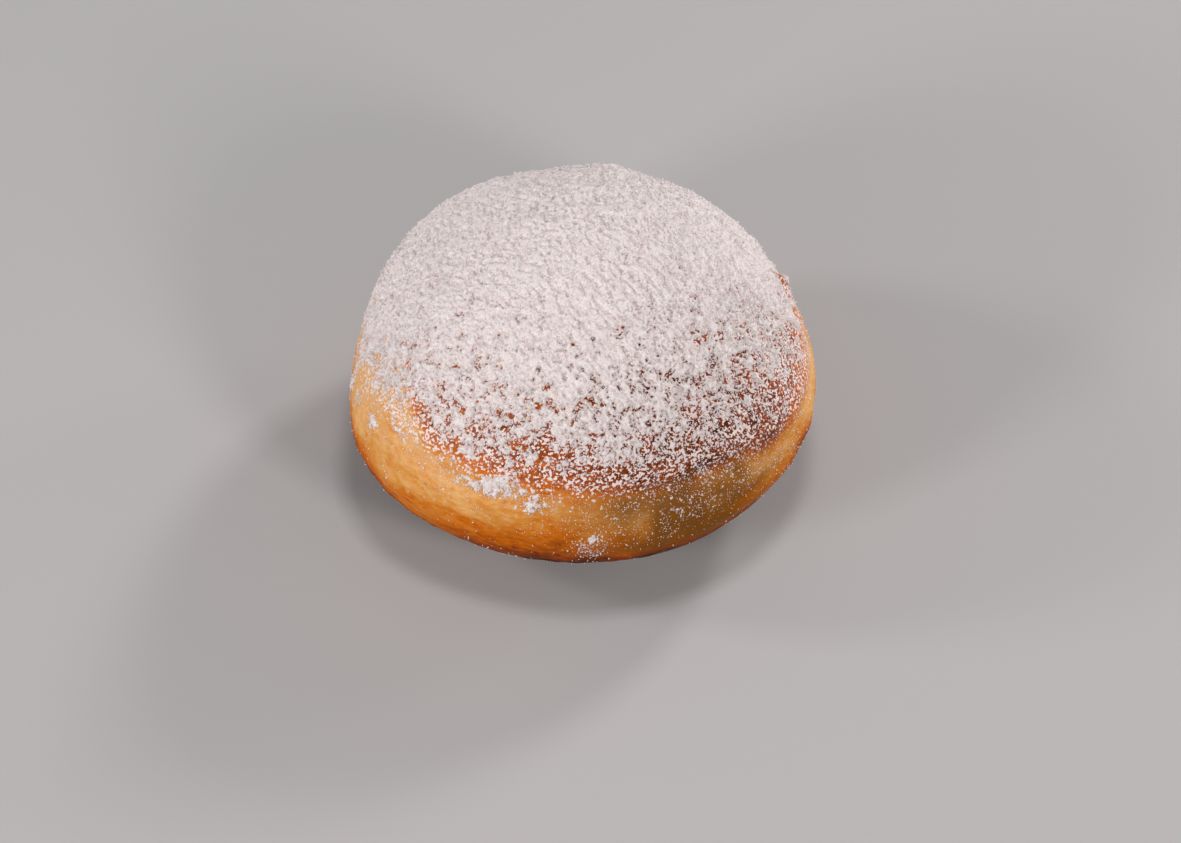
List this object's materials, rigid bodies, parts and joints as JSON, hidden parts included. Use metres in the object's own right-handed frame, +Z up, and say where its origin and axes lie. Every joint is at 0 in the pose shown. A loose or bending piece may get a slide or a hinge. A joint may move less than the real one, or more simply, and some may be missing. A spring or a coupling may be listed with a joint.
{
  "type": "filled doughnut",
  "caption": "Round uncut filled doughnut, fried golden brown with a pale belt and dusted with icing sugar, resting on a small flat spot.",
  "frame": {"origin": "centre of the doughnut's box in plan, at the level of the flat spot that it rests on", "axes": "+Z up through the crown; -Y is the side seen first; +X to the right of that side"},
  "size_m": [0.0832, 0.0858, 0.0516],
  "materials": {
    "fried_crust": "fried yeast dough: brown and faintly oily crown and base, pale golden fibrous belt between them",
    "icing_sugar": "loose icing sugar, matt white grains and small clots"
  },
  "bodies": {
    "root": {"doughnut": "fried_crust"}
  },
  "joints": []
}
